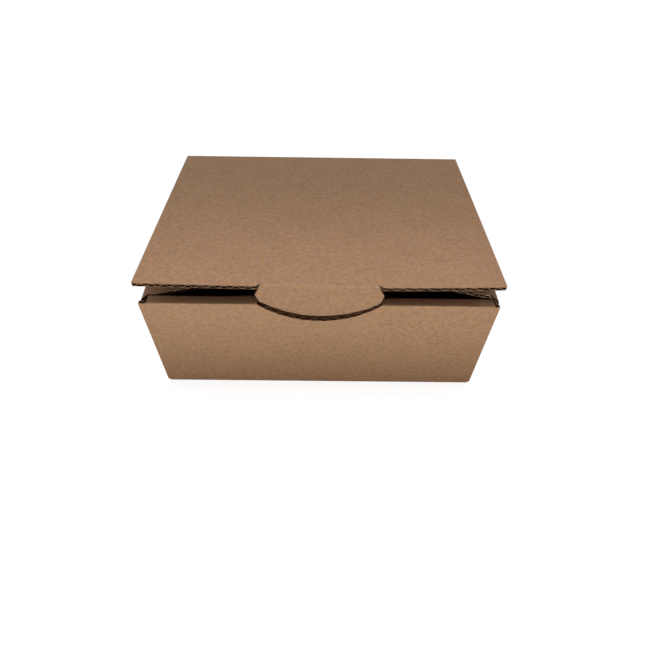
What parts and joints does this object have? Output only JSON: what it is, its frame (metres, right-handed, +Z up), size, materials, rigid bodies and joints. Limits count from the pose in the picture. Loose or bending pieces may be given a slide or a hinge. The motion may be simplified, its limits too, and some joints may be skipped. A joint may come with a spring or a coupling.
{
  "type": "corrugated mailer box",
  "caption": "Plain folded mailer box of single-wall corrugated board, hinged lid ajar, tongue tucked into an arc-notched double front wall.",
  "frame": {"origin": "middle of the underside, on the surface that the box stands on", "axes": "+X to the right along the front wall, +Y from the front wall to the hinged back wall, +Z up"},
  "size_m": [0.22, 0.164, 0.0981],
  "materials": {
    "board": "matte kraft liner",
    "lid_board": "matte kraft liner"
  },
  "bodies": {
    "tray": {"tray": "board"},
    "lid": {"lid": "lid_board"}
  },
  "joints": [
    {"name": "lid_hinge", "type": "hinge", "parent": "tray", "child": "lid", "pos_m": [0, 0.082, 0.0844], "axis": [-1, 0, 0], "range_deg": [0, 175]}
  ]
}
